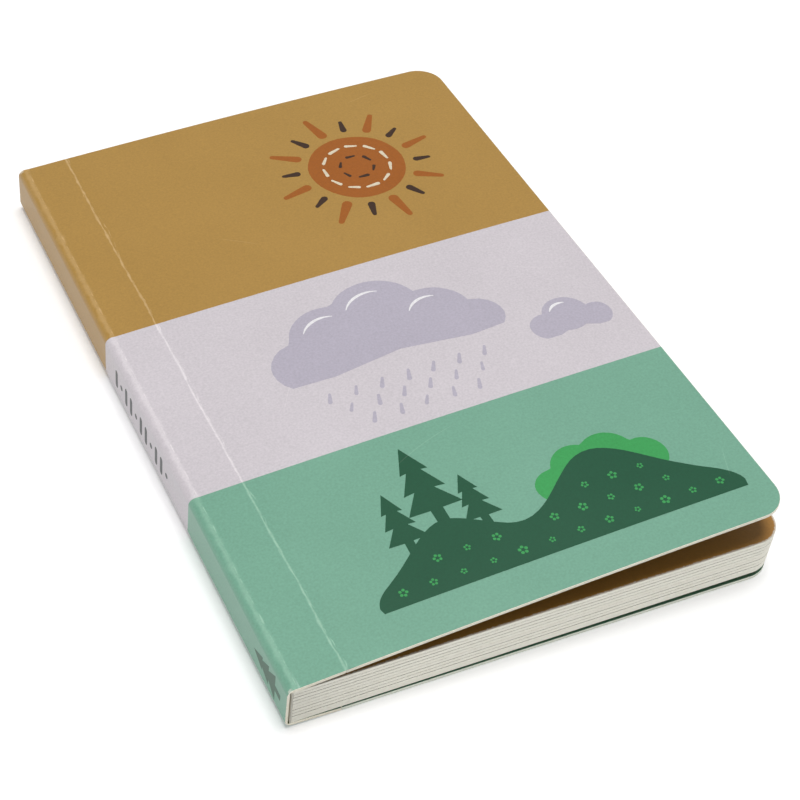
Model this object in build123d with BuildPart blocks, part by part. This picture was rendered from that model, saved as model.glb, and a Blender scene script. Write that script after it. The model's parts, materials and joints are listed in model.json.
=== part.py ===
from build123d import *
import os
from math import cos, radians, sin, tan

# A board book with flap pages, lying on its back cover with the front cover ajar.
# The spine runs along Y (tail towards -Y), the fore edge faces +X and the covers face up and down.
# The origin is on the table, under the middle of the book.

# Pages: thick board leaves, each cut across into flaps
book_height = 230.0  # tail to head
page_length = 153.4  # back of the block to the fore edge
leaf_count = 10
leaf_board = 1.14
leaf_gap = 0.15  # air between two leaves
gutter = 1.0  # folded gutters that join the leaves at the back of the block
corner_radius = 9.0  # fore-edge corners of the leaves and covers
tail_flap = 70.6
middle_flap = 70.6  # the head flap takes the rest of the height
slit_width = 0.4
slit_root = 14.0  # left uncut beside the back of the block

# Cover: one printed card, folded round the spine and scored beside it
card = 1.05
fold_radius = 0.15  # inside of the two spine folds
hollow_slack = 0.05  # spare room between the folds and the block
glue_land = 2.05  # narrow strip of the card that is glued to the outer leaves
hinge_strip = 12.8  # from the glued strip to the score line
glue_bend_radius = 7.0
score_half_angle = 7.0  # degrees, each flank of the groove inside the score line
front_setback = 2.05  # the front cover ends this far short of the pages
panel_bow = 0.55  # rise of the front cover's middle over its chord

# How the book lies, in degrees
front_strip_rise = 5.5  # front hinge strip over the pages
front_opening = 4.4  # front cover over the pages
back_strip_fall = 2.5  # back hinge strip under the pages
page_lift = 0.5  # pages over the back cover, which lies flat

# Worked out in the section across the spine: x from the spine's face, z from the lowest leaf
leaf_pitch = leaf_board + leaf_gap
block_height = leaf_count * leaf_pitch - leaf_gap
block_back = card + fold_radius + hollow_slack
page_edge = block_back + page_length
glue_edge = block_back + glue_land
rise = radians(front_strip_rise)
fall = radians(back_strip_fall)
opening = radians(front_opening)
lift = radians(page_lift)
front_top = block_height + card
front_crease = (glue_edge + hinge_strip * cos(rise), front_top + hinge_strip * sin(rise))
back_crease = (glue_edge + hinge_strip * cos(fall), -card - hinge_strip * sin(fall))
front_panel = page_edge - front_setback - front_crease[0]
front_edge = (front_crease[0] + front_panel * cos(opening), front_crease[1] + front_panel * sin(opening))
back_panel = page_edge - back_crease[0]

# The section plane leans with the pages and passes through the back score line on the table
along_page = Vector(cos(lift), 0, sin(lift))
off_page = Vector(-sin(lift), 0, cos(lift))
back_axis = Vector(back_crease[0] - page_edge / 2, 0, 0)
section_origin = back_axis - along_page * back_crease[0] - off_page * back_crease[1]
book_section = Plane(origin=section_origin, x_dir=along_page, z_dir=(0, -1, 0))
table_section = Plane(origin=back_axis, x_dir=(1, 0, 0), z_dir=(0, -1, 0))
front_axis = book_section.from_local_coords(front_crease)


def round_fore_edge(panel):
    """Rounds the two corners of the panel that are furthest from the spine."""
    fore_edge = panel.faces().sort_by(Axis.X)[-1]
    fillet(fore_edge.edges().filter_by(Axis.Y, reverse=True), corner_radius)


def score_groove(plane, crease, turn, depth_way):
    """Wedge-shaped groove inside a score line, with its point on the card's outer face."""
    depth = 2 * card
    flank = depth * tan(radians(score_half_angle))
    with BuildPart() as groove:
        with BuildSketch(plane):
            with Locations(Location((crease[0], crease[1], 0), (0, 0, turn))):
                Polygon((0, 0), (-flank, depth_way * depth), (flank, depth_way * depth), align=None)
        extrude(amount=book_height, both=True)
    return groove.part


front_groove = score_groove(book_section, front_crease, front_strip_rise, -1)
back_groove = score_groove(table_section, (0, 0), 0, 1)

# Page block: the leaves, joined by their gutters
with BuildPart() as page_block:
    with BuildSketch(book_section):
        with Locations((block_back, 0)):
            Rectangle(page_length, block_height, align=(Align.MIN, Align.MIN))
    extrude(amount=book_height / 2, both=True)
    round_fore_edge(page_block)
    with BuildSketch(book_section):
        for leaf in range(1, leaf_count):
            with Locations((block_back + gutter, leaf * leaf_pitch - leaf_gap)):
                Rectangle(page_length, leaf_gap, align=(Align.MIN, Align.MIN))
    extrude(amount=book_height, both=True, mode=Mode.SUBTRACT)
    for slit_from_tail in (tail_flap, tail_flap + middle_flap):
        with BuildSketch(book_section.offset(book_height / 2 - slit_from_tail)):
            with Locations((block_back + slit_root, -card)):
                Rectangle(page_length, block_height + 2 * card, align=(Align.MIN, Align.MIN))
        extrude(amount=slit_width / 2, both=True, mode=Mode.SUBTRACT)

# Spine of the cover, with the hinge strips up to both score lines
with BuildPart() as cover_spine:
    with BuildSketch(book_section):
        with BuildLine():
            outside = FilletPolyline(
                front_crease,
                (glue_edge, front_top),
                (0, front_top),
                (0, -card),
                (glue_edge, -card),
                back_crease,
                radius=[glue_bend_radius, fold_radius + card, fold_radius + card, glue_bend_radius],
            )
            offset(outside, amount=card, side=Side.LEFT)
        make_face()
    extrude(amount=book_height / 2, both=True)
    add(front_groove, mode=Mode.SUBTRACT)
    add(back_groove, mode=Mode.SUBTRACT)

# Front cover, from the score line to the fore edge, bowed outwards a little
with BuildPart() as front_cover:
    with BuildSketch(book_section):
        with BuildLine():
            face_line = SagittaArc(front_crease, front_edge, panel_bow)
            offset(face_line, amount=card, side=Side.RIGHT)
        make_face()
    extrude(amount=book_height / 2, both=True)
    round_fore_edge(front_cover)
    add(front_groove, mode=Mode.SUBTRACT)

# Back cover, flat on the table
with BuildPart() as back_cover:
    with BuildSketch(table_section):
        Rectangle(back_panel, card, align=(Align.MIN, Align.MIN))
    extrude(amount=book_height / 2, both=True)
    round_fore_edge(back_cover)
    add(back_groove, mode=Mode.SUBTRACT)

os.makedirs("parts", exist_ok=True)
pieces = {
    "page_block": page_block,
    "cover_spine": cover_spine,
    "front_cover": front_cover,
    "back_cover": back_cover,
}
for name, piece in pieces.items():
    piece.part.label = name
    export_step(piece.part, f"parts/{name}.step")

print("front score line", front_axis, "back score line", back_axis)
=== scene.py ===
import json
import math

import bmesh
import bpy
from mathutils import Matrix, Vector, geometry, noise


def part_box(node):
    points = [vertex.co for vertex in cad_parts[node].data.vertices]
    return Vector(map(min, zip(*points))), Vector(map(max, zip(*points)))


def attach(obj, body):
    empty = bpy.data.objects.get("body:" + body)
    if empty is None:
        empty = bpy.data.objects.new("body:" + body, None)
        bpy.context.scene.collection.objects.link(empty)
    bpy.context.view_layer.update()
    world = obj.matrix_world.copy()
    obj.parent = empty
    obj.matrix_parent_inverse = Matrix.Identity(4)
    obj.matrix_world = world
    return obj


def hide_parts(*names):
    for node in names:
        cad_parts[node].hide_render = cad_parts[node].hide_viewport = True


# A board book with flap pages, lying with its front cover ajar
# Sizes are in millimetres until they are placed
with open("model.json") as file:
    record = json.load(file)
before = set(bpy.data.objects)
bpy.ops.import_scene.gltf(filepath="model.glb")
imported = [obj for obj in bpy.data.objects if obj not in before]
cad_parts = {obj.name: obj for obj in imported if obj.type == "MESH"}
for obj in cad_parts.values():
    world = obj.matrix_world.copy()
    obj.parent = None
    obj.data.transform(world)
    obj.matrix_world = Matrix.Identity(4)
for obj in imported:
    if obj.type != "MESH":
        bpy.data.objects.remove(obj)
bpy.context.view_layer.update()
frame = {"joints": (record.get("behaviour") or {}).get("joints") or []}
mm = 0.001
joints = {joint["name"]: joint for joint in frame["joints"]}
frontScore = Vector(joints["front_cover_hinge"]["pos_m"])
backScore = Vector(joints["back_cover_hinge"]["pos_m"])
blockLow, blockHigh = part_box("page_block")
bookHeight = (blockHigh.y - blockLow.y) / mm
tail = -bookHeight / 2
head = bookHeight / 2

# the cover card and the block in a slice across the spine
profile = {
    "card": 1.05,
    "foldRadius": 0.15,
    "hollowSlack": 0.05,
    "glueLand": 2.05,
    "hingeStrip": 12.8,
    "glueBend": 7.0,
    "frontRise": 5.5,
    "backFall": 2.5,
    "scoreFlank": 7.0,
    "flankReach": 3.0,
    "blockHeight": 12.75,
    "pageLength": 153.4,
    "pageLift": 0.5,
    "cornerRadius": 9.0,
}
blockBack = profile["card"] + profile["foldRadius"] + profile["hollowSlack"]
glueEdge = blockBack + profile["glueLand"]
coverTop = profile["blockHeight"] + profile["card"]
frontRise = math.radians(profile["frontRise"])
backFall = math.radians(profile["backFall"])
hingeStrip = profile["hingeStrip"]
frontStrip = Vector((math.cos(frontRise), math.sin(frontRise))) * hingeStrip
backStrip = Vector((math.cos(backFall), -math.sin(backFall))) * hingeStrip
frontCrease = Vector((glueEdge, coverTop)) + frontStrip
backCrease = Vector((glueEdge, -profile["card"])) + backStrip
liftTurn = Matrix.Rotation(math.radians(profile["pageLift"]), 2)


def inSlice(x, y, z):  # x from the spine's face, z from the lowest leaf
    turned = liftTurn @ (Vector((x, z)) - backCrease)
    return Vector((backScore.x + turned.x * mm, y * mm, backScore.z + turned.y * mm))


print("score line off by", (inSlice(frontCrease.x, 0, frontCrease.y) - frontScore).length / mm, "mm")


# nodes
def addNode(tree, kind, inputs=None, **settings):
    made = tree.nodes.new(kind)
    for key, value in settings.items():
        setattr(made, key, value)
    for key, value in (inputs or {}).items():
        if isinstance(value, bpy.types.NodeSocket):
            tree.links.new(value, made.inputs[key])
        else:
            made.inputs[key].default_value = value
    return made


def calc(tree, operation, *terms):
    return addNode(tree, "ShaderNodeMath", dict(enumerate(terms)), operation=operation).outputs[0]


def blendColour(tree, amount, first, second, way="MIX"):  # sockets 6 and 7 take colours
    mixed = {0: amount, 6: first, 7: second}
    return addNode(tree, "ShaderNodeMix", mixed, data_type="RGBA", blend_type=way).outputs[2]


def axes(tree, vector):
    return addNode(tree, "ShaderNodeSeparateXYZ", {0: vector}).outputs


def cloudy(tree, place, scale, detail):  # soft noise from 0 to 1
    spread = {"Vector": place, "Scale": scale, "Detail": detail}
    return addNode(tree, "ShaderNodeTexNoise", spread).outputs[0]


def ramp(tree, value, low, high):  # 0 at low, 1 at high, smooth between
    span = {0: value, 1: low, 2: high}
    return addNode(tree, "ShaderNodeMapRange", span, interpolation_type="SMOOTHSTEP").outputs[0]


def linear(red, green, blue):  # an 8-bit screen colour as the renderer's own
    channels = [c / 255 for c in (red, green, blue)]
    return tuple(c / 12.92 if c <= 0.04045 else ((c + 0.055) / 1.055) ** 2.4 for c in channels) + (1,)


def newGroup(name, family, named, result):  # a node group with its inputs and one way out
    tree = bpy.data.node_groups.new(name, family + "NodeTree")
    for socket, kind, default in named:
        made = tree.interface.new_socket(socket, in_out="INPUT", socket_type="NodeSocket" + kind)
        if default is not None:
            made.default_value = default
    tree.interface.new_socket(result[0], in_out="OUTPUT", socket_type="NodeSocket" + result[1])
    entry = tree.nodes.new("NodeGroupInput").outputs
    return tree, entry, tree.nodes.new("NodeGroupOutput").inputs


def newMaterial(name):
    made = bpy.data.materials.new(name)
    made.use_nodes = True
    tree = made.node_tree
    tree.nodes.clear()
    output = tree.nodes.new("ShaderNodeOutputMaterial")
    place = addNode(tree, "ShaderNodeTexCoord").outputs["Object"]
    return made, tree, output, place


def coat(tree, output, settings, colour, roughness, height):  # the surface, with a fine relief
    raised = {
        "Strength": settings["relief"],
        "Distance": settings["reliefDepth"] * mm,
        "Height": height,
    }
    bump = addNode(tree, "ShaderNodeBump", raised).outputs[0]
    surface = {"Base Color": colour, "Roughness": roughness, "Normal": bump}
    tree.links.new(addNode(tree, "ShaderNodeBsdfPrincipled", surface).outputs[0], output.inputs[0])


# printed, laminated card
laminate = {
    "roughness": 0.38,
    "roughnessSpread": 0.08,
    "grain": 1500,
    "grainTone": 0.34,
    "mottle": 38,
    "mottleTone": 0.09,
    "mottleRelief": 6.0,
    "relief": 0.35,
    "reliefDepth": 0.012,
    "paleGain": (1.3, 1.3, 1.3, 1),
    "bareCard": linear(240, 237, 226),
    "bareShare": 0.14,
}
specks = {"scale": 160.0, "leftOut": 0.955, "reach": 0.08, "core": 0.03, "strength": 0.5}
inkColours = {
    "ochre": linear(175, 136, 66),
    # the pages' ochre, a little darker and warmer than the cover's: painted shade for the gap under the
    # front cover
    "warmOchre": linear(178, 127, 57),
    "lilac": linear(210, 203, 208),
    "sage": linear(119, 171, 147),
    "rust": linear(161, 90, 16),
    "umber": linear(58, 34, 16),
    "charcoal": linear(24, 30, 32),
    "cream": linear(223, 211, 185),
    "cloud": linear(183, 177, 191),
    "white": linear(238, 236, 238),
    "fir": linear(14, 82, 53),
    "leaf": linear(56, 160, 84),
}
ripples = {  # scale and detail of the unevenness along a pale line
    "shiver": (260, 1),
    "bend": (42, 1),
    "swell": (190, 2),
    "breaks": (270, 3),
    "shiverShare": 0.35,
    "swellShare": 2.2,
    "edge": (1.15, 0.1),
    "seedStep": 3.7,
}


def paleLineGroup():  # a pale line along Y, with a wavering course and a broken strength: worn lines, and the painted sheen over the fold
    numbers = ("Course", "Half width", "Waver", "Strength", "Broken", "Seed")
    named = [(name, "Float", None) for name in numbers] + [("Place", "Vector", None)]
    group, entry, leaving = newGroup("wornLine", "Shader", named, ("Wear", "Float"))
    parts = axes(group, entry["Place"])
    along = calc(group, "ADD", parts["Y"], entry["Seed"])

    def ripple(name):  # from about -0.3 to 0.3 along the line
        scale, detail = ripples[name]
        wave = {"W": along, "Scale": scale, "Detail": detail}
        made = addNode(group, "ShaderNodeTexNoise", wave, noise_dimensions="1D")
        return calc(group, "SUBTRACT", made.outputs[0], 0.5)

    bend = calc(group, "MULTIPLY_ADD", ripple("shiver"), ripples["shiverShare"], ripple("bend"))
    course = calc(group, "MULTIPLY_ADD", bend, entry["Waver"], entry["Course"])
    apart = calc(group, "ABSOLUTE", calc(group, "SUBTRACT", parts["X"], course))
    swell = calc(group, "MULTIPLY_ADD", ripple("swell"), ripples["swellShare"], 1.0)
    width = calc(group, "MULTIPLY", entry["Half width"], swell)
    core = ramp(group, calc(group, "DIVIDE", apart, width), *ripples["edge"])
    strength = calc(group, "MULTIPLY_ADD", ripple("breaks"), entry["Broken"], entry["Strength"])
    worn = calc(group, "MULTIPLY", core, strength)
    worn = calc(group, "MINIMUM", calc(group, "MAXIMUM", worn, 0.0), 1.0)
    group.links.new(worn, leaving[0])
    return group


wornLine = paleLineGroup()
paleLines = {  # course, half width and waver in millimetres, then strength and brokenness; the wide band over the rounded fold is rub wear and painted sheen
    "score": (frontCrease.x, 0.42, 1.1, 0.88, 1.8),
    "scoreTwin": (frontCrease.x + 0.45, 0.2, 2.6, 0.3, 3.0),
    "fold": (2.8, 0.28, 0.5, 0.45, 3.2),
    "foldRubAndSheen": (2.2, 1.15, 0.5, 0.45, 0.3),
}
wornCorners = {
    "spots": ((0.9, tail + 0.2), (0.9, head - 0.2)),
    "depth": 0.5,
    "reach": 1.5,
    "fade": (1.2, 0.7),
    "share": 0.5,
}
wornEdge = {"width": 0.8, "core": 0.4, "share": 0.75}
scratches = {
    "width": 0.16,
    "core": 0.04,
    "fullTo": 0.4,
    "strength": 0.4,
    "rows": (  # middle from the score line and the tail, heading in degrees, half length and bend
        (52, 63, 20, 15, 0.006),
        (24, 96, 58, 7, 0.002),
        (118, 118, -24, 9, -0.004),
        (37, 167, -35, 8, 0.003),
        (104, 222, 12, 6, 0.0),
        (128, 22, 70, 6, 0.004),
    ),
}


def scratchGroup():  # faint hairlines on the front cover
    named = [("Place", "Vector", None)]
    group, entry, leaving = newGroup("scratches", "Shader", named, ("Wear", "Float"))
    worn = 0.0
    for u, v, heading, reach, bend in scratches["rows"]:
        middle = inSlice(frontCrease.x + u, tail + v, coverTop)
        turn = (0, 0, math.radians(heading))
        laid = {"Vector": entry["Place"], "Location": middle, "Rotation": turn}
        local = addNode(group, "ShaderNodeMapping", laid, vector_type="TEXTURE").outputs[0]
        parts = axes(group, local)
        square = calc(group, "MULTIPLY", parts["X"], parts["X"])
        across = calc(group, "ABSOLUTE", calc(group, "MULTIPLY_ADD", square, bend / mm, parts["Y"]))
        along = calc(group, "ABSOLUTE", parts["X"])
        ends = ramp(group, along, reach * mm, reach * mm * scratches["fullTo"])
        body = ramp(group, across, scratches["width"] * mm, scratches["core"] * mm)
        worn = calc(group, "MAXIMUM", calc(group, "MULTIPLY", body, ends), worn)
    group.links.new(calc(group, "MULTIPLY", worn, scratches["strength"]), leaving[0])
    return group


scratchLines = scratchGroup()


def nearEdge(tree, place, grain):  # bare board along the cut edges of the pages
    radius = profile["cornerRadius"] * mm
    tip = inSlice(blockBack + profile["pageLength"], 0, profile["blockHeight"]).x
    parts = axes(tree, place)
    side = calc(tree, "SUBTRACT", calc(tree, "ABSOLUTE", parts["Y"]), head * mm - radius)
    side = calc(tree, "MAXIMUM", side, 0.0)
    front = calc(tree, "MAXIMUM", calc(tree, "SUBTRACT", parts["X"], tip - radius), 0.0)
    square = calc(tree, "MULTIPLY_ADD", side, side, calc(tree, "MULTIPLY", front, front))
    inset = calc(tree, "SUBTRACT", radius, calc(tree, "SQRT", square))
    width = wornEdge["width"] * mm
    inset = calc(tree, "MULTIPLY_ADD", calc(tree, "SUBTRACT", grain, 0.5), width, inset)
    bare = ramp(tree, inset, width, width * wornEdge["core"])
    return calc(tree, "MULTIPLY", bare, wornEdge["share"])


def nearCorners(tree, place, grain):  # bare card at the ends of the front fold
    found = 0.0
    reach = wornCorners["reach"] * mm
    outer, inner = wornCorners["fade"]
    for x, y in wornCorners["spots"]:
        spot = {0: place, 1: inSlice(x, y, coverTop - wornCorners["depth"])}
        apart = addNode(tree, "ShaderNodeVectorMath", spot, operation="DISTANCE").outputs["Value"]
        ragged = calc(tree, "MULTIPLY_ADD", grain, reach, apart)
        found = calc(tree, "MAXIMUM", ramp(tree, ragged, reach * outer, reach * inner), found)
    return calc(tree, "MULTIPLY", found, wornCorners["share"])


def finishPrint(tree, output, place, colour, marks=()):  # the last argument names the kinds of pale marks that show: wear, and over the fold also painted sheen
    mottle = cloudy(tree, place, laminate["mottle"], 3.0)
    grain = cloudy(tree, place, laminate["grain"], 2.0)
    uneven = calc(tree, "SUBTRACT", mottle, 0.5)
    shade = calc(tree, "MULTIPLY_ADD", uneven, laminate["mottleTone"], 1.0)
    fine = calc(tree, "SUBTRACT", grain, 0.5)
    shade = calc(tree, "MULTIPLY_ADD", fine, laminate["grainTone"], shade)
    tone = addNode(tree, "ShaderNodeCombineColor", {0: shade, 1: shade, 2: shade}).outputs[0]
    colour = blendColour(tree, 1.0, colour, tone, "MULTIPLY")
    speck = addNode(tree, "ShaderNodeTexVoronoi", {"Vector": place, "Scale": specks["scale"]})
    chosen = addNode(tree, "ShaderNodeSeparateColor", {0: speck.outputs["Color"]}).outputs[0]
    dot = ramp(tree, speck.outputs["Distance"], specks["reach"], specks["core"])
    pale = calc(tree, "MULTIPLY", dot, calc(tree, "GREATER_THAN", chosen, specks["leftOut"]))
    pale = calc(tree, "MULTIPLY", pale, specks["strength"])
    if "scratches" in marks:
        hairlines = addNode(tree, "ShaderNodeGroup", {"Place": place}, node_tree=scratchLines)
        pale = calc(tree, "MAXIMUM", pale, hairlines.outputs[0])
    if "lines" in marks:
        for seed, (course, half, waver, strength, broken) in enumerate(paleLines.values()):
            worn = {
                "Course": inSlice(course, 0, coverTop).x,
                "Half width": half * mm,
                "Waver": waver * mm,
                "Strength": strength,
                "Broken": broken,
                "Seed": seed * ripples["seedStep"],
                "Place": place,
            }
            line = addNode(tree, "ShaderNodeGroup", worn, node_tree=wornLine)
            pale = calc(tree, "MAXIMUM", pale, line.outputs[0])
    # the pale colour of worn card, also used as painted sheen in the band over the fold
    lightened = blendColour(tree, 1.0, colour, laminate["paleGain"], "MULTIPLY")
    lightened = blendColour(tree, laminate["bareShare"], lightened, laminate["bareCard"])
    colour = blendColour(tree, pale, colour, lightened)
    if "corners" in marks:
        colour = blendColour(tree, nearCorners(tree, place, grain), colour, laminate["bareCard"])
    if "edges" in marks:
        colour = blendColour(tree, nearEdge(tree, place, grain), colour, laminate["bareCard"])
    rough = calc(tree, "MULTIPLY_ADD", uneven, laminate["roughnessSpread"], laminate["roughness"])
    height = calc(tree, "MULTIPLY_ADD", mottle, laminate["mottleRelief"], grain)
    coat(tree, output, laminate, colour, rough, height)


bands = {"low": 70.6, "middle": 141.24, "soft": 0.06}  # tops of the two lower bands, from the tail


def bandedPrint(name, low, middle, high, marks):
    made, tree, output, place = newMaterial(name)
    y = axes(tree, place)["Y"]
    colour = inkColours[low]
    for top, above in ((bands["low"], middle), (bands["middle"], high)):
        edge = (tail + top) * mm
        soft = bands["soft"] * mm
        colour = blendColour(tree, ramp(tree, y, edge - soft, edge + soft), colour, inkColours[above])
    finishPrint(tree, output, place, colour, marks)
    return made


def plainPrint(name, colour, marks=()):
    made, tree, output, place = newMaterial(name)
    shown = addNode(tree, "ShaderNodeRGB")
    shown.outputs[0].default_value = colour
    finishPrint(tree, output, place, shown.outputs[0], marks)
    return made


cutBoard = {
    "along": 35,
    "layerShare": 0.7,
    "fluff": 1100.0,
    "tones": (0.2, 0.9),
    "roughness": 0.9,
    "relief": 0.12,
    "reliefDepth": 0.02,
}


def boardEdge(name, pale, dark, streaks):  # the cut edge of a board, with faint layers
    made, tree, output, place = newMaterial(name)
    stretched = {"Vector": place, "Scale": (cutBoard["along"], cutBoard["along"], streaks)}
    fibre = addNode(tree, "ShaderNodeMapping", stretched).outputs[0]
    layers = cloudy(tree, fibre, 1.0, 1.0)
    fluff = cloudy(tree, place, cutBoard["fluff"], 2.0)
    uneven = calc(tree, "SUBTRACT", layers, 0.5)
    amount = calc(tree, "MULTIPLY_ADD", uneven, cutBoard["layerShare"], fluff)
    colour = blendColour(tree, ramp(tree, amount, *cutBoard["tones"]), pale, dark)
    coat(tree, output, cutBoard, colour, cutBoard["roughness"], fluff)
    return made


coverPrint = bandedPrint("coverPrint", "sage", "lilac", "ochre", ("scratches", "lines", "corners"))
pagePrint = bandedPrint("pagePrint", "warmOchre", "lilac", "sage", ("edges",))
# the front cover's inside, darker than the back cover's inside: painted shade for the gap under the
# front cover
frontInside = plainPrint("frontInside", linear(36, 50, 42))
backInside = plainPrint("backInside", linear(84, 132, 106))
hollowInside = plainPrint("hollowInside", linear(170, 158, 118))
# the leaves' faces inside the stack: dark grey as painted shade in the gaps, so the lines between the
# leaves show
innerPages = plainPrint("innerPages", linear(118, 114, 102))
coverEdge = boardEdge("coverEdge", linear(246, 242, 226), linear(232, 226, 206), 900)
backEdge = boardEdge("backEdge", linear(238, 242, 230), linear(222, 228, 214), 900)
leafEdge = boardEdge("leafEdge", linear(252, 250, 238), linear(245, 242, 228), 1400)
inks = {}
for name, colour in inkColours.items():
    inks[name] = plainPrint(name + "Ink", colour, ("scratches",))
print("materials made", len(bpy.data.materials))


# meshes
quarter = math.pi / 2
cornerSteps = 10
tiny = 1e-6
levelShare = 0.99  # least upright share of a level face's normal


def baked(piece):  # what the modifiers make, as a plain mesh
    graph = bpy.context.evaluated_depsgraph_get()
    made = bpy.data.meshes.new_from_object(piece.evaluated_get(graph), depsgraph=graph)
    piece.modifiers.clear()
    old = piece.data
    piece.data = made
    bpy.data.meshes.remove(old)
    made.name = piece.name
    return piece


def smoothed(piece):  # soft shading that follows the broad faces
    piece.data.shade_smooth()
    keeper = piece.modifiers.new("broadFaces", "WEIGHTED_NORMAL")
    keeper.keep_sharp = True
    return baked(piece)


def newObject(name, data):
    made = bpy.data.objects.new(name, data)
    bpy.context.scene.collection.objects.link(made)
    return made


def pieceFrom(work, name, materials):
    bmesh.ops.recalc_face_normals(work, faces=work.faces)
    mesh = bpy.data.meshes.new(name)
    work.to_mesh(mesh)
    work.free()
    for material in materials:
        mesh.materials.append(material)
    return newObject(name, mesh)


def arc(centre, radius, start, end, steps):
    angles = [start + (end - start) * k / steps for k in range(steps + 1)]
    return [(centre[0] + radius * math.cos(a), centre[1] + radius * math.sin(a)) for a in angles]


def plate(outline, thickness, rim, cell, joined=False):  # a flat board with soft rims, its top at z 0
    work = bmesh.new()
    top = work.faces.new([work.verts.new((x, y, 0)) for x, y in outline])
    lower = bmesh.ops.extrude_face_region(work, geom=[top])["geom"]
    sunk = [part for part in lower if isinstance(part, bmesh.types.BMVert)]
    bmesh.ops.translate(work, verts=sunk, vec=(0, 0, -thickness))
    bmesh.ops.recalc_face_normals(work, faces=work.faces)
    flatEdges = []
    for edge in work.edges:
        ends = [vert.co for vert in edge.verts]
        scored = joined and max(abs(end.x) + abs(end.z) for end in ends) < tiny
        if abs(ends[0].z - ends[1].z) < tiny and not scored:
            flatEdges.append(edge)
    bmesh.ops.bevel(work, geom=flatEdges, offset=rim, segments=2, profile=0.5, affect="EDGES")
    for axis in (0, 1):
        spread = [v.co[axis] for v in work.verts]
        for k in range(1, int((max(spread) - min(spread)) / cell) + 1):
            cut = Vector((0, 0, 0))
            cut[axis] = min(spread) + k * cell
            side = Vector((0, 0, 0))
            side[axis] = 1
            if max(spread) - cut[axis] > 0.3 * cell:  # no sliver at the far end
                whole = work.verts[:] + work.edges[:] + work.faces[:]
                bmesh.ops.bisect_plane(work, geom=whole, dist=tiny, plane_co=cut, plane_no=side)
    for face in work.faces:
        face.normal_update()
        rise = face.normal.z
        face.material_index = 0 if rise > levelShare else 1 if rise < -levelShare else 2
    return work


def roundedPanel(length):  # square at the score line, round at the fore edge
    radius = profile["cornerRadius"]
    outline = [(0, tail)] + arc((length - radius, tail + radius), radius, -quarter, 0, cornerSteps)
    outline += arc((length - radius, head - radius), radius, 0, quarter, cornerSteps)
    return outline + [(0, head)]


# front cover: a bowed panel that starts at the score line
frontPanel = {"bow": 0.55, "opening": 4.4, "setback": 2.05, "rim": 0.11, "cell": 6.0}
pageEdge = blockBack + profile["pageLength"]
frontChord = pageEdge - frontPanel["setback"] - frontCrease.x
bowHalf = 2 * math.atan(2 * frontPanel["bow"] / frontChord)
bowRadius = frontChord / (2 * math.sin(bowHalf))
frontLength = 2 * bowHalf * bowRadius
frontSlope = math.radians(frontPanel["opening"] + profile["pageLift"]) + bowHalf
flankSlope = math.tan(math.radians(profile["scoreFlank"]))


def flankAt(u, h):  # how far the score groove's side leans back at height h
    return -h * flankSlope * max(0.0, 1 - u / profile["flankReach"])


def onFront(u, y, h):  # u from the score line along the cover, h above its printed face
    flank = flankAt(u, h)
    slope = frontSlope - (u + flank) / bowRadius
    x = bowRadius * (math.sin(frontSlope) - math.sin(slope)) - h * math.sin(slope)
    z = bowRadius * (math.cos(slope) - math.cos(frontSlope)) + h * math.cos(slope)
    return Vector((frontScore.x + x * mm, y * mm, frontScore.z + z * mm))


def onBack(u, y, h):  # the same on the back cover, whose printed face is down
    return Vector((backScore.x + (u + flankAt(u, h)) * mm, -y * mm, backScore.z - h * mm))


def lay(work, place):
    for vert in work.verts:
        vert.co = place(*vert.co)
    return work


def cardPanel(length):
    return plate(roundedPanel(length), profile["card"], frontPanel["rim"], frontPanel["cell"], True)


backLength = pageEdge - backCrease.x
frontSkins = [coverPrint, frontInside, coverEdge]
backSkins = [coverPrint, backInside, backEdge]
frontCard = smoothed(pieceFrom(lay(cardPanel(frontLength), onFront), "frontCard", frontSkins))
backCard = smoothed(pieceFrom(lay(cardPanel(backLength), onBack), "backCard", backSkins))
print("covers made", len(frontCard.data.polygons), len(backCard.data.polygons))


# spine of the cover: the folded stretch between the score lines
spineFold = {"steps": 9, "cell": 6.0, "rim": 0.1, "softened": 2.3, "thinned": 0.28}
spineSkins = {
    "outside": coverPrint,
    "frontLiningShade": frontInside,
    "edge": coverEdge,
    "hollow": hollowInside,
    "backLining": backInside,
}


def foldedPath(corners, radii, steps):  # points with their inward directions
    path = []
    last = len(corners) - 1
    for k, corner in enumerate(corners):
        if k in (0, last):
            way = (corners[min(k + 1, last)] - corners[max(k - 1, 0)]).normalized()
            path.append((corner, Vector((-way.y, way.x))))
            continue
        before = (corner - corners[k - 1]).normalized()
        after = (corners[k + 1] - corner).normalized()
        turn = math.atan2(before.x * after.y - before.y * after.x, before.dot(after))
        reach = radii[k - 1] * math.tan(abs(turn) / 2)
        side = math.copysign(1, turn)
        normal = Vector((-before.y, before.x))
        centre = corner - before * reach + normal * side * radii[k - 1]
        for step in range(steps + 1):
            inward = Matrix.Rotation(turn * step / steps, 2) @ normal
            path.append((centre - inward * side * radii[k - 1], inward))
    return path


def spinePath(fold):
    card = profile["card"]
    corners = [frontCrease, (glueEdge, coverTop), (0, coverTop)]
    corners += [(0, -card), (glueEdge, -card), backCrease]
    radii = [profile["glueBend"], fold, fold, profile["glueBend"]]
    return foldedPath([Vector(c) for c in corners], radii, spineFold["steps"])


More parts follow.
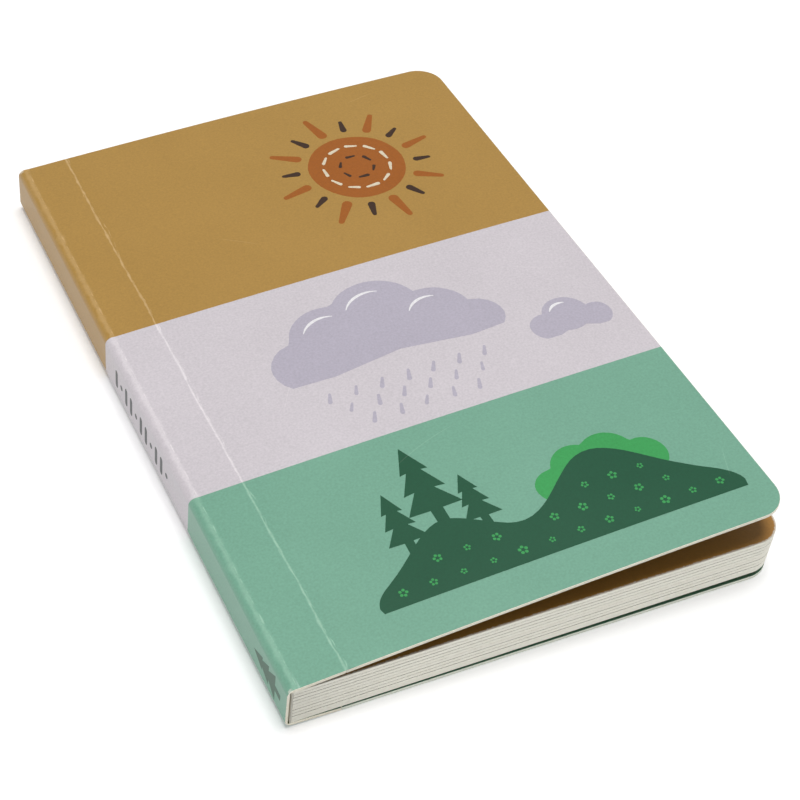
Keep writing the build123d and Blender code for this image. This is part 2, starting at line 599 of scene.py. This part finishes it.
def spineCard():  # its folds are worn round, and the card is thinner along the spine's face
    numbers = {skin: number for number, skin in enumerate(spineSkins)}
    outer = [point for point, inward in spinePath(spineFold["softened"])]
    inner, lining = [], []
    for point, inward in spinePath(profile["foldRadius"] + profile["card"]):
        thinned = spineFold["thinned"] * max(0.0, inward.x) ** 2
        inner.append(point + inward * (profile["card"] - thinned))
        # the front lining takes the front cover's darkened inside, which is painted shade
        cover = "frontLiningShade" if inward.y < 0 else "backLining"
        lining.append(numbers["hollow" if inward.x > 0.5 else cover])
    for end, beside in ((0, 1), (-1, -2)):
        back = (outer[beside] - outer[end]).normalized()
        inner[end] = inner[end] + back * profile["card"] * flankSlope
    ring = outer + inner[::-1]
    count = len(outer)
    around = [numbers["outside"]] * (count - 1) + [numbers["edge"]]
    around += lining[-2::-1] + [numbers["edge"]]  # back along the inside
    cells = round(bookHeight / spineFold["cell"])
    work = bmesh.new()
    rows = []
    for k in range(cells + 1):
        y = tail + k * bookHeight / cells
        rows.append([work.verts.new((point.x, y, point.y)) for point in ring])
    for low, high in zip(rows, rows[1:]):
        for k, skin in enumerate(around):
            nextOne = (k + 1) % len(ring)
            face = work.faces.new((low[k], low[nextOne], high[nextOne], high[k]))
            face.material_index = skin
    for row in (rows[0], rows[-1]):
        for k in range(count - 1):
            face = work.faces.new((row[k], row[k + 1], row[-k - 2], row[-k - 1]))
            face.material_index = numbers["edge"]
    bmesh.ops.recalc_face_normals(work, faces=work.faces)
    ends = [(round(outer[k].x, 4), round(outer[k].y, 4)) for k in (0, -1)]
    rims = []
    for edge in work.edges:
        scored = all((round(v.co.x, 4), round(v.co.z, 4)) in ends for v in edge.verts)
        touching = {face.material_index for face in edge.link_faces}
        if len(touching) == 2 and numbers["edge"] in touching and not scored:
            rims.append(edge)
    soft, skin = spineFold["rim"], numbers["edge"]
    bmesh.ops.bevel(work, geom=rims, offset=soft, segments=2, profile=0.5, affect="EDGES", material=skin)
    lay(work, inSlice)
    return smoothed(pieceFrom(work, "spineCard", spineSkins.values()))


spine = spineCard()
print("spine made", len(spine.data.polygons))


# pages: one leaf with its flap slits, repeated up the block
leaf = {
    "count": 10,
    "board": 1.15,
    "gutter": 0.5,
    "slitRoot": 14.0,
    "slitWidth": 0.4,
    "slits": (70.6, 141.2),
    "rim": 0.08,
    "cell": 40.0,
    "stray": 0.05,
    "seed": 4,
}


def leafOutline():
    radius = profile["cornerRadius"]
    spare = leaf["stray"]
    length = profile["pageLength"] - spare
    low, high, root = tail + spare, head - spare, leaf["slitRoot"]
    outline = [(spare, low)]
    outline += arc((length - radius, low + radius), radius, -quarter, 0, cornerSteps)
    for slit in leaf["slits"]:
        under, over = tail + slit - leaf["slitWidth"] / 2, tail + slit + leaf["slitWidth"] / 2
        outline += [(length, under), (root, under), (root, over), (length, over)]
    outline += arc((length - radius, high - radius), radius, 0, quarter, cornerSteps)
    return outline + [(spare, high)]


def leafStackTree():
    named = (
        ("Leaf", "Geometry", None),
        ("Leaf count", "Int", leaf["count"]),
        ("Pitch", "Float", 1.0),
        ("Stray", "Float", 0.1),
        ("Seed", "Int", leaf["seed"]),
        ("Middle", "Float", 0.0),
        ("Reach", "Float", 1.0),
        ("Board", "Material", None),
        ("Inside", "Material", None),
        ("Print", "Material", None),
    )
    tree, entry, leaving = newGroup("leafStack", "Geometry", named, ("Geometry", "Geometry"))
    step = addNode(tree, "ShaderNodeCombineXYZ", {2: entry["Pitch"]}).outputs[0]
    counted = {"Count": entry["Leaf count"], "Offset": step}
    line = addNode(tree, "GeometryNodeMeshLine", counted, mode="OFFSET").outputs[0]
    placed = {"Points": line, "Instance": entry["Leaf"]}
    stack = addNode(tree, "GeometryNodeInstanceOnPoints", placed).outputs[0]
    sway = {0: (-1, -1, 0), 1: (1, 1, 0), "Seed": entry["Seed"]}
    shift = addNode(tree, "FunctionNodeRandomValue", sway, data_type="FLOAT_VECTOR").outputs[0]
    scaled = {0: shift, "Scale": entry["Stray"]}
    stray = addNode(tree, "ShaderNodeVectorMath", scaled, operation="SCALE").outputs[0]
    swayed = {"Instances": stack, "Translation": stray}
    moved = addNode(tree, "GeometryNodeTranslateInstances", swayed).outputs[0]
    real = addNode(tree, "GeometryNodeRealizeInstances", {0: moved}).outputs[0]
    covered = {"Geometry": real, "Material": entry["Board"]}
    board = addNode(tree, "GeometryNodeSetMaterial", covered).outputs[0]
    normal = addNode(tree, "GeometryNodeInputNormal").outputs[0]
    rise = calc(tree, "ABSOLUTE", axes(tree, normal)["Z"])
    upright = {0: rise, 1: levelShare}
    level = addNode(tree, "FunctionNodeCompare", upright, operation="GREATER_THAN").outputs[0]
    # the level faces inside the stack take the painted shade of the gaps between leaves
    inner = {"Geometry": board, "Selection": level, "Material": entry["Inside"]}
    inside = addNode(tree, "GeometryNodeSetMaterial", inner).outputs[0]
    position = addNode(tree, "GeometryNodeInputPosition").outputs[0]
    height = axes(tree, position)["Z"]
    away = calc(tree, "ABSOLUTE", calc(tree, "SUBTRACT", height, entry["Middle"]))
    outermost = calc(tree, "GREATER_THAN", away, entry["Reach"])
    facing = {0: calc(tree, "MULTIPLY", rise, outermost), 1: levelShare}
    flat = addNode(tree, "FunctionNodeCompare", facing, operation="GREATER_THAN").outputs[0]
    printed = {"Geometry": inside, "Selection": flat, "Material": entry["Print"]}
    tree.links.new(addNode(tree, "GeometryNodeSetMaterial", printed).outputs[0], leaving[0])
    return tree


def grown(piece, tree, values):  # runs a node tree on the piece and keeps the plain result
    builder = piece.modifiers.new(tree.name, "NODES")
    builder.node_group = tree
    for item in tree.interface.items_tree:
        if item.in_out == "INPUT" and item.name in values:
            builder[item.identifier] = values[item.name]
    return baked(piece)


def pageBlock():
    sheet = plate(leafOutline(), leaf["board"], leaf["rim"], leaf["cell"])
    values = {
        "Leaf count": leaf["count"],
        "Pitch": (profile["blockHeight"] - leaf["board"]) / (leaf["count"] - 1),
        "Stray": leaf["stray"],
        "Seed": leaf["seed"],
        "Middle": profile["blockHeight"] / 2 - leaf["board"],
        "Reach": profile["blockHeight"] / 2 - leaf["board"] / 2,
        "Board": leafEdge,
        "Inside": innerPages,
        "Print": pagePrint,
    }
    stack = grown(pieceFrom(sheet, "leafStack", []), leafStackTree(), values)
    work = bmesh.new()
    work.from_mesh(stack.data)
    gutterMaterial = stack.data.materials.find(leafEdge.name)
    strip = [(0, tail), (leaf["gutter"], tail), (leaf["gutter"], head), (0, head)]
    gutter = plate(strip, profile["blockHeight"] - leaf["rim"], leaf["rim"], leaf["cell"])
    for face in gutter.faces:
        face.material_index = gutterMaterial
    top = profile["blockHeight"] - leaf["board"] - leaf["rim"] / 2
    bmesh.ops.translate(gutter, verts=gutter.verts, vec=(0, 0, top))
    joined = bpy.data.meshes.new("gutter")
    gutter.to_mesh(joined)
    gutter.free()
    work.from_mesh(joined)
    bpy.data.meshes.remove(joined)
    for vert in work.verts:
        vert.co = inSlice(blockBack + vert.co.x, vert.co.y, leaf["board"] + vert.co.z)
    work.to_mesh(stack.data)
    work.free()
    return smoothed(stack)


pages = pageBlock()
print("pages made", len(pages.data.polygons))


# ink shapes: u from the score line (or z up the spine), v from the tail
ink = {
    "low": 0.02,
    "middle": 0.035,
    "high": 0.05,
    "skirt": 0.05,
    "cell": 5.0,
    "merge": 1e-5,
    "cut": 0.35,
    "cutScale": 0.11,
    "seedStep": 7.3,
    "seed": 5,
    "endSteps": 6,
    "crescentEnd": 0.25,
}
noise.seed_set(ink["seed"])  # without it the cut shapes change from run to run


def handCut(outline, seed):  # the slight unevenness of a shape cut with scissors
    shaped = []
    for x, y in outline:
        spot = (x * ink["cutScale"], y * ink["cutScale"], seed * ink["seedStep"])
        push = noise.noise_vector(Vector(spot))
        shaped.append((x + push.x * ink["cut"], y + push.y * ink["cut"]))
    return shaped


def disc(centre, radius, steps=40):
    return arc(centre, radius, 0, 2 * math.pi, steps)[:-1]


def dash(start, end, startWidth, endWidth):  # a stroke with round ends
    heading = math.atan2(end[1] - start[1], end[0] - start[0])
    left, right, steps = heading + quarter, heading - quarter, ink["endSteps"]
    outline = arc(end, endWidth / 2, right, left, steps)
    return outline + arc(start, startWidth / 2, left, heading + 3 * quarter, steps)


def crescent(centre, radius, start, end, width, steps=12):  # a curved stroke with thin ends
    thin = ink["crescentEnd"]
    outer, inner = [], []
    for k in range(steps + 1):
        angle = start + (end - start) * k / steps
        half = width / 2 * (thin + (1 - thin) * math.sin(math.pi * k / steps))
        way = Vector((math.cos(angle), math.sin(angle)))
        outer.append(tuple(Vector(centre) + way * (radius + half)))
        inner.append(tuple(Vector(centre) + way * (radius - half)))
    return outer + inner[::-1]


def finer(outline):
    shorter = []
    for k, end in enumerate(outline):
        start, end = Vector(outline[k - 1]), Vector(end)
        pieces = max(1, math.ceil((end - start).length / ink["cell"]))
        shorter += [tuple(start.lerp(end, (piece + 1) / pieces)) for piece in range(pieces)]
    return shorter


def filled(outline):  # triangles inside the outline, small enough to follow the bowed cover
    outline = finer(outline)
    cell = ink["cell"]
    low = [min(p[axis] for p in outline) for axis in (0, 1)]
    high = [max(p[axis] for p in outline) for axis in (0, 1)]
    spots = [Vector(p) for p in outline]
    for column in range(1, int((high[0] - low[0]) / cell) + 1):
        for row in range(1, int((high[1] - low[1]) / cell) + 1):
            spots.append(Vector((low[0] + column * cell, low[1] + row * cell)))
    made = geometry.delaunay_2d_cdt(spots, [], [list(range(len(outline)))], 1, ink["merge"])
    return made[0], made[2]


def flatMesh(outlines, name):
    spots, faces = [], []
    for outline in outlines:
        corners, triangles = filled(outline)
        faces += [[k + len(spots) for k in triangle] for triangle in triangles]
        spots += [(corner.x, corner.y, 0) for corner in corners]
    mesh = bpy.data.meshes.new(name)
    mesh.from_pydata(spots, [], faces)
    return mesh


def stampTree():  # one shape stamped on every point, turned by the point's own angle
    named = (
        ("Points", "Geometry", None),
        ("Stamp", "Object", None),
        ("Turn spread", "Float", 0.0),
        ("Size spread", "Float", 0.0),
        ("Seed", "Int", 1),
        ("Ink", "Material", None),
    )
    tree, entry, leaving = newGroup("stamps", "Geometry", named, ("Geometry", "Geometry"))
    stamp = addNode(tree, "GeometryNodeObjectInfo", {"Object": entry["Stamp"]}).outputs["Geometry"]
    turning = {"Name": "turn"}
    turn = addNode(tree, "GeometryNodeInputNamedAttribute", turning, data_type="FLOAT").outputs[0]

    def spread(amount, shift):
        draw = {2: -1.0, 3: 1.0, "Seed": calc(tree, "ADD", entry["Seed"], shift)}
        made = addNode(tree, "FunctionNodeRandomValue", draw, data_type="FLOAT")
        return calc(tree, "MULTIPLY", made.outputs[1], amount)

    angle = calc(tree, "ADD", turn, spread(entry["Turn spread"], 0.0))
    euler = addNode(tree, "ShaderNodeCombineXYZ", {2: angle}).outputs[0]
    rotation = addNode(tree, "FunctionNodeEulerToRotation", {0: euler}).outputs[0]
    size = calc(tree, "ADD", 1.0, spread(entry["Size spread"], 5.0))
    placed = {"Points": entry["Points"], "Instance": stamp, "Rotation": rotation, "Scale": size}
    stamps = addNode(tree, "GeometryNodeInstanceOnPoints", placed).outputs[0]
    real = addNode(tree, "GeometryNodeRealizeInstances", {0: stamps}).outputs[0]
    inked = {"Geometry": real, "Material": entry["Ink"]}
    tree.links.new(addNode(tree, "GeometryNodeSetMaterial", inked).outputs[0], leaving[0])
    return tree


stamps = stampTree()


def stamped(outlines, spots, colour, turnSpread=0.0, sizeSpread=0.0, seed=1):  # spots: u, v, turn
    shape = newObject("stamp", flatMesh(outlines, "stamp"))
    mesh = bpy.data.meshes.new("spots")
    mesh.from_pydata([(u, v, 0) for u, v, turn in spots], [], [])
    turns = mesh.attributes.new("turn", "FLOAT", "POINT").data
    turns.foreach_set("value", [turn for u, v, turn in spots])
    carrier = newObject("spots", mesh)
    values = {
        "Stamp": shape,
        "Turn spread": turnSpread,
        "Size spread": sizeSpread,
        "Seed": seed,
        "Ink": inks[colour],
    }
    made = grown(carrier, stamps, values).data
    bpy.data.objects.remove(carrier)
    bpy.data.objects.remove(shape)
    return made


def inkPiece(name, layers, place):  # layers are (flat mesh, colour, height over the print)
    colours = list(dict.fromkeys(colour for mesh, colour, height in layers))
    whole = bmesh.new()
    for mesh, colour, height in layers:
        part = bmesh.new()
        part.from_mesh(mesh)
        bmesh.ops.remove_doubles(part, verts=part.verts, dist=ink["merge"])
        for face in part.faces:
            face.normal_update()
            if face.normal.z < 0:
                face.normal_flip()
        lower = bmesh.ops.extrude_face_region(part, geom=part.faces[:])["geom"]
        sunk = [v for v in lower if isinstance(v, bmesh.types.BMVert)]
        bmesh.ops.translate(part, verts=part.verts, vec=(0, tail, ink[height]))
        bmesh.ops.translate(part, verts=sunk, vec=(0, 0, -ink[height] - ink["skirt"]))
        bmesh.ops.recalc_face_normals(part, faces=part.faces)
        for face in part.faces:
            face.material_index = colours.index(colour)
        solid = bpy.data.meshes.new("inkLayer")
        part.to_mesh(solid)
        part.free()
        whole.from_mesh(solid)
        bpy.data.meshes.remove(solid)
        bpy.data.meshes.remove(mesh)
    return pieceFrom(lay(whole, place), name, [inks[colour] for colour in colours])


# sun, in the ochre band
sun = {
    "centre": (88, 187),
    "radius": 16.5,
    "turn": 0.2,
    "rings": ((11.2, 11, 3.6, "cream"), (5.6, 6, 2.6, "umber")),  # radius, strokes, length, colour
    "ringShift": 0.3,
    "strokeWidths": (0.8, 1.3),
    "strokeSpread": (0.1, 0.12),
    "rays": 8,
    "rayStart": 20.5,
    "rayLength": 8.5,
    "rayWidths": (3.2, 1.8),
    "raySpread": (0.07, 0.1),
    "shortRay": 0.55,
}


def aroundSun(radius, count, shift, turned):
    spots = []
    for k in range(count):
        angle = (k + shift) * 2 * math.pi / count + sun["turn"]
        x = sun["centre"][0] + radius * math.cos(angle)
        spots.append((x, sun["centre"][1] + radius * math.sin(angle), angle + turned))
    return spots


def sunInk():
    layers = [(flatMesh([handCut(disc(sun["centre"], sun["radius"]), 1)], "disk"), "rust", "low")]
    for number, (radius, count, length, colour) in enumerate(sun["rings"]):
        stroke = dash((-length / 2, 0), (length / 2, 0), *sun["strokeWidths"])
        spots = aroundSun(radius, count, sun["ringShift"] * number, quarter)
        strokes = stamped([stroke], spots, colour, *sun["strokeSpread"], seed=number + 1)
        layers.append((strokes, colour, "middle"))
    for colour, shift, share in (("rust", 0.0, 1.0), ("umber", 0.5, sun["shortRay"])):
        widths = [width * share ** 0.5 for width in sun["rayWidths"]]
        ray = dash((0, 0), (sun["rayLength"] * share, 0), *widths)
        spots = aroundSun(sun["rayStart"], sun["rays"], shift, 0.0)
        layers.append((stamped([ray], spots, colour, *sun["raySpread"], seed=3), colour, "low"))
    return inkPiece("sunInk", layers, onFront)


# rain clouds, in the lilac band
clouds = {
    "big": ((34, 106, 10), (47, 114, 13.5), (64, 118, 15), (80, 111, 12), (92, 104.5, 8)),
    "small": ((109, 92, 5.5), (117, 95, 7.5), (126, 91.5, 5)),
    "bigBase": 98,
    "smallBase": 87,
    "shine": (0.68, 1.2, 2.6, 1.0),  # share of the radius, start, end and width
    "rainRows": (92, 86, 80),
    "rainStart": 36,
    "rainShift": 4.5,
    "rainPitch": 8.5,
    "rainDrops": 7,
    "rainHeading": -112,
    "dropLength": 3.2,
    "dropWidths": (0.8, 1.3),
    "dropSpread": (0.12, 0.16),
}


def cloudOutline(circles, base, lift=3, steps=96):  # the outside of circles on a flat base
    centre = Vector((sum(c[0] for c in circles) / len(circles), base + lift))
    outline = []
    for k in range(steps):
        way = Vector((math.cos(2 * math.pi * k / steps), math.sin(2 * math.pi * k / steps)))
        reach = 0.0
        for x, y, radius in circles:
            apart = centre - Vector((x, y))
            along = way.dot(apart)
            inside = along * along - apart.dot(apart) + radius * radius
            if inside > 0:
                reach = max(reach, math.sqrt(inside) - along)
        if way.y < 0:
            reach = min(reach, (base - centre.y) / way.y)
        outline.append((centre.x + way.x * reach, centre.y + way.y * reach))
    return outline


def cloudInk():
    outlines = []
    shapes = ((clouds["big"], clouds["bigBase"]), (clouds["small"], clouds["smallBase"]))
    for seed, (circles, base) in enumerate(shapes):
        outlines.append(handCut(cloudOutline(circles, base), seed + 4))
    layers = [(flatMesh(outlines, "cloud"), "cloud", "low")]
    share, start, end, width = clouds["shine"]
    shine = []
    for x, y, radius in clouds["big"][1:4] + clouds["small"][1:2]:
        shine.append(crescent((x, y), radius * share, start, end, width))
    layers.append((flatMesh(shine, "shine"), "white", "middle"))
    spots = []
    for row, v in enumerate(clouds["rainRows"]):
        for k in range(clouds["rainDrops"] - row):
            u = clouds["rainStart"] + row * clouds["rainShift"] + k * clouds["rainPitch"]
            spots.append((u, v, math.radians(clouds["rainHeading"])))
    drop = dash((0, 0), (clouds["dropLength"], 0), *clouds["dropWidths"])
    layers.append((stamped([drop], spots, "cloud", *clouds["dropSpread"], seed=6), "cloud", "low"))
    return inkPiece("cloudInk", layers, onFront)


# hills with firs and bushes, in the sage band
hills = {
    "foot": 12,
    "start": 16,
    "end": 130,
    "footInset": 0.5,
    "shoulder": (9, 6),  # length and height of the rounded ends
    "rises": ((44, 17, 17), (94, 24, 22)),  # place, height and spread of each rise
    "bushes": ((80, 33, 6.5), (89, 37.5, 8), (99, 38, 8.5), (108.5, 33.5, 7)),
    "bushBase": 24,
    "firs": ((33, 23), (45, 31), (56, 21)),  # place and height
    "firSunk": 2,
}
fir = {  # shares of the height; tip and notch are shares of the half width and lose some per tier
    "trunk": 0.06,
    "low": 0.2,
    "halfWidth": 0.27,
    "tiers": 3,
    "tierStep": 0.24,
    "tierHeight": 0.25,
    "tip": (1, 0.24),
    "notch": (0.36, 0.09),
}
flowers = {
    "petals": (0.3, 1.56, 2.8, 4.1, 5.3),
    "ring": 0.85,
    "petal": 0.42,
    "start": 24,
    "pitch": 9.0,
    "columns": 13,
    "rows": 4,
    "rowPitch": 7,
    "margin": 4.5,
    "endMargin": 6,
    "spread": (0.6, 0.25),
}


def crest(u):
    height = 0
    for place, rise, spread in hills["rises"]:
        height += rise * math.exp(-((u - place) / spread) ** 2)
    length, lift = hills["shoulder"]
    toEnd = max(0.0, min(1.0, min(u - hills["start"], hills["end"] - u) / length))
    return hills["foot"] + height + lift * math.sqrt(toEnd * (2 - toEnd))


def firOutline(u, foot, height):  # a fir with three tiers
    trunk, half = fir["trunk"] * height, height * fir["halfWidth"]
    side = [(trunk, 0), (trunk, fir["low"] * height)]
    for tier in range(fir["tiers"]):
        low = fir["low"] + fir["tierStep"] * tier
        side.append((half * (fir["tip"][0] - fir["tip"][1] * tier), low * height))
        notch = half * (fir["notch"][0] - fir["notch"][1] * tier)
        side.append((notch, (low + fir["tierHeight"]) * height))
    outline = [(u + x, foot + y) for x, y in side[:-1]] + [(u, foot + height)]
    return outline + [(u - x, foot + y) for x, y in side[:-1][::-1]]


def hillInk(steps=72):
    start, end, foot = hills["start"], hills["end"], hills["foot"]
    ridge = []
    for k in range(1, steps):
        u = start + (end - start) * (1 - math.cos(math.pi * k / steps)) / 2
        ridge.append((u, crest(u)))
    outline = [(start + hills["footInset"], foot), (end - hills["footInset"], foot)] + ridge[::-1]
    bushes = handCut(cloudOutline(hills["bushes"], hills["bushBase"]), 5)
    firs = []
    for u, height in hills["firs"]:
        firs.append(handCut(firOutline(u, crest(u) - hills["firSunk"], height), 8))
    layers = [(flatMesh([bushes], "bushes"), "leaf", "low")]
    layers.append((flatMesh([handCut(outline, 6)], "hill"), "fir", "middle"))
    layers.append((flatMesh(firs, "firs"), "fir", "low"))
    ring, pitch = flowers["ring"], flowers["pitch"]
    petals = []
    for angle in flowers["petals"]:
        petals.append(disc((ring * math.cos(angle), ring * math.sin(angle)), flowers["petal"], 10))
    spots = []
    for row in range(flowers["rows"]):
        for k in range(flowers["columns"]):
            u = flowers["start"] + k * pitch + (row % 2) * pitch / 2
            v = foot + flowers["margin"] + row * flowers["rowPitch"]
            if v + flowers["margin"] < crest(u) and u < end - flowers["endMargin"]:
                spots.append((u, v, 0.0))
    layers.append((stamped(petals, spots, "leaf", *flowers["spread"], seed=2), "leaf", "high"))
    return inkPiece("hillInk", layers, onFront)


# dots and bars up the spine, and a small fir at its foot
spineMarks = {
    "middle": 6.3,
    "first": 88.0,
    "pitch": 4.3,
    "count": 11,
    "length": 4.8,
    "width": 1.9,
    "fir": (6.3, 4.0, 17.5),
}


def onSpine(z, y, h):
    return inSlice(-h, y, z)


def spineInk():
    half, width = spineMarks["length"] / 2, spineMarks["width"]
    bar = dash((-half, 0), (half, 0), width, width)
    dot = disc((0, 0), width / 2, steps=14)
    bars, dots = [], []
    for k in range(spineMarks["count"]):
        spot = (spineMarks["middle"], spineMarks["first"] + k * spineMarks["pitch"], 0.0)
        (bars if k % 3 else dots).append(spot)
    layers = [(stamped([bar], bars, "charcoal"), "charcoal", "low")]
    layers.append((stamped([dot], dots, "charcoal"), "charcoal", "low"))
    small = handCut(firOutline(*spineMarks["fir"]), 9)
    layers.append((flatMesh([small], "spineFir"), "fir", "low"))
    return inkPiece("spineInk", layers, onSpine)


artwork = (sunInk(), cloudInk(), hillInk())
spineArt = spineInk()
print("ink made", sum(len(piece.data.polygons) for piece in artwork + (spineArt,)))

for piece, node, body, finish in (
    (frontCard, "front_cover", "front_cover", "printed_cover"),
    (backCard, "back_cover", "back_cover", "printed_cover"),
    (spine, "cover_spine", "binding", "printed_cover"),
    (pages, "page_block", "binding", "page_board"),
):
    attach(piece, body)
    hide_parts(node)
for piece in artwork:
    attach(piece, "front_cover")
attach(spineArt, "binding")

# floor, light and camera
studio = {
    "floor": 8.0,
    "floorDrop": 0.05,
    "floorColour": 0.88,
    "floorGlow": 0.2,
    "wallGlow": 0.93,
    "wallTop": 0.15,
    "foreSide": 0.13,
    "ceilingGlow": 0.27,
    "ceilingStart": 0.45,
    "lampFrom": (0.03, 0.06, 1),
    "lampSpread": 30,
    "lampStrength": 2.13,
}


def makeFloor():
    work = bmesh.new()
    bmesh.ops.create_grid(work, x_segments=1, y_segments=1, size=studio["floor"])
    bmesh.ops.translate(work, verts=work.verts, vec=(0, 0, -studio["floorDrop"] * mm))
    made, tree, output, place = newMaterial("paperSweep")
    ray = addNode(tree, "ShaderNodeLightPath").outputs
    seen = calc(tree, "MAXIMUM", ray["Is Camera Ray"], ray["Is Glossy Ray"])
    seen = calc(tree, "MAXIMUM", seen, ray["Is Transmission Ray"])
    matt = addNode(tree, "ShaderNodeBsdfDiffuse", {"Color": (studio["floorColour"],) * 3 + (1,)})
    glowing = calc(tree, "MULTIPLY", seen, studio["floorGlow"])
    glow = addNode(tree, "ShaderNodeEmission", {"Strength": glowing})
    both = addNode(tree, "ShaderNodeAddShader", {0: matt.outputs[0], 1: glow.outputs[0]})
    tree.links.new(both.outputs[0], output.inputs[0])
    floor = pieceFrom(work, "floor", [made])


def makeSky():  # white walls all round under a dimmer ceiling, brighter towards the fore edge
    world = bpy.data.worlds.new("studioSky")
    bpy.context.scene.world = world
    world.use_nodes = True
    tree = world.node_tree
    tree.nodes.clear()
    way = addNode(tree, "ShaderNodeTexCoord").outputs["Generated"]
    parts = axes(tree, way)
    upward = ramp(tree, parts["Z"], studio["wallTop"], studio["ceilingStart"])
    fading = {0: upward, 3: studio["wallGlow"], 4: studio["ceilingGlow"]}
    shade = addNode(tree, "ShaderNodeMapRange", fading).outputs[0]
    sideways = calc(tree, "MULTIPLY_ADD", parts["X"], studio["foreSide"], 1.0)
    shade = calc(tree, "MULTIPLY", shade, sideways)
    ray = addNode(tree, "ShaderNodeLightPath").outputs
    mirrored = calc(tree, "MAXIMUM", ray["Is Glossy Ray"], ray["Is Transmission Ray"])
    mirrored = calc(tree, "MULTIPLY", mirrored, calc(tree, "SUBTRACT", 1.0, upward))
    shade = calc(tree, "MAXIMUM", shade, calc(tree, "MAXIMUM", mirrored, ray["Is Camera Ray"]))
    sky = addNode(tree, "ShaderNodeBackground", {"Color": (1, 1, 1, 1), "Strength": shade})
    output = tree.nodes.new("ShaderNodeOutputWorld")
    tree.links.new(sky.outputs[0], output.inputs[0])


def makeLamp():  # a wide soft lamp overhead, a little behind the book
    lamp = bpy.data.lights.new("overhead", "SUN")
    lamp.energy = studio["lampStrength"]
    lamp.angle = math.radians(studio["lampSpread"])
    holder = newObject("overhead", lamp)
    holder.location = (0, 0, 1)
    holder.rotation_euler = Vector(studio["lampFrom"]).to_track_quat("Z", "Y").to_euler()


photo = {  # the camera that the book's edges in the picture fit
    "place": (-0.205424, -0.360345, 0.377145),
    "aim": (-0.003491, -0.026339, 0.014),
    "roll": 8.2247,
    "lens": 80.2501,
    "sensor": 36,
    "clip": (0.01, 20),
}


def makeCamera():
    camera = bpy.data.cameras.new("camera")
    camera.sensor_width = photo["sensor"]
    camera.lens = photo["lens"]
    camera.clip_start, camera.clip_end = photo["clip"]
    holder = newObject("camera", camera)
    towards = (Vector(photo["aim"]) - Vector(photo["place"])).to_track_quat("-Z", "Y")
    turn = towards.to_matrix() @ Matrix.Rotation(math.radians(photo["roll"]), 3, "Z")
    holder.matrix_world = Matrix.Translation(photo["place"]) @ turn.to_4x4()
    bpy.context.scene.camera = holder


makeFloor()
makeSky()
makeLamp()
makeCamera()
bpy.context.scene.view_settings.view_transform = "Standard"
print("stage made")
